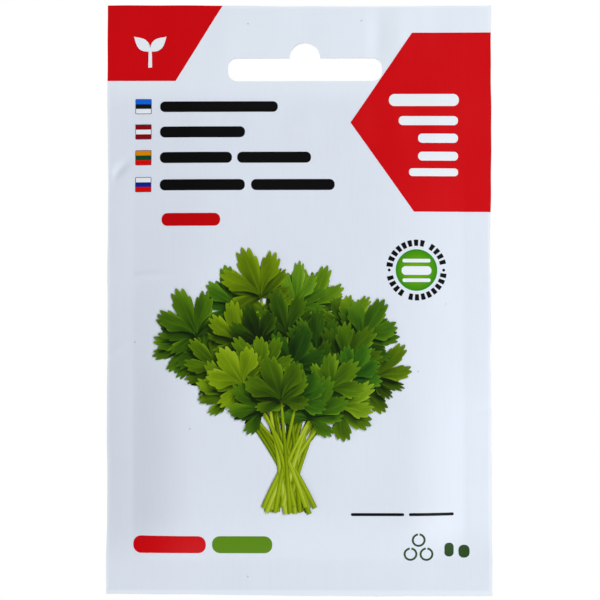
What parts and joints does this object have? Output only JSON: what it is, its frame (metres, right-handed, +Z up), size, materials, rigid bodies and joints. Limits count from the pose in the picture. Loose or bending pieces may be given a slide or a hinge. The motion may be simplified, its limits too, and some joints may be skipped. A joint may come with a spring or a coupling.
{
  "type": "seed packet",
  "caption": "Flat four-side-sealed seed packet with a hanging slot in its header and loose round seeds in its pocket.",
  "frame": {"origin": "top of the hanging slot's crown, in the middle of the slot and between the two films, where a display hook carries the packet", "axes": "+Z up, with the header at the top; the printed front faces -Y; +X to the right as seen from the front"},
  "size_m": [0.0799, 0.0056, 0.1225],
  "materials": {
    "film": "satin printed laminate film",
    "seed_husk": "dry ribbed husk, matt"
  },
  "bodies": {
    "root": {"front_film": "film", "back_film": "film", "seed_01": "seed_husk", "seed_02": "seed_husk", "seed_03": "seed_husk", "seed_04": "seed_husk", "seed_05": "seed_husk", "seed_06": "seed_husk", "seed_07": "seed_husk", "seed_08": "seed_husk", "seed_09": "seed_husk", "seed_10": "seed_husk", "seed_11": "seed_husk", "seed_12": "seed_husk", "seed_13": "seed_husk", "seed_14": "seed_husk", "seed_15": "seed_husk", "seed_16": "seed_husk", "seed_17": "seed_husk", "seed_18": "seed_husk", "seed_19": "seed_husk", "seed_20": "seed_husk", "seed_21": "seed_husk", "seed_22": "seed_husk", "seed_23": "seed_husk", "seed_24": "seed_husk", "seed_25": "seed_husk", "seed_26": "seed_husk", "seed_27": "seed_husk", "seed_28": "seed_husk", "seed_29": "seed_husk", "seed_30": "seed_husk", "seed_31": "seed_husk", "seed_32": "seed_husk", "seed_33": "seed_husk", "seed_34": "seed_husk", "seed_35": "seed_husk", "seed_36": "seed_husk", "seed_37": "seed_husk", "seed_38": "seed_husk", "seed_39": "seed_husk", "seed_40": "seed_husk", "seed_41": "seed_husk", "seed_42": "seed_husk", "seed_43": "seed_husk", "seed_44": "seed_husk", "seed_45": "seed_husk", "seed_46": "seed_husk", "seed_47": "seed_husk", "seed_48": "seed_husk", "seed_49": "seed_husk", "seed_50": "seed_husk", "seed_51": "seed_husk", "seed_52": "seed_husk", "seed_53": "seed_husk", "seed_54": "seed_husk"}
  },
  "joints": []
}
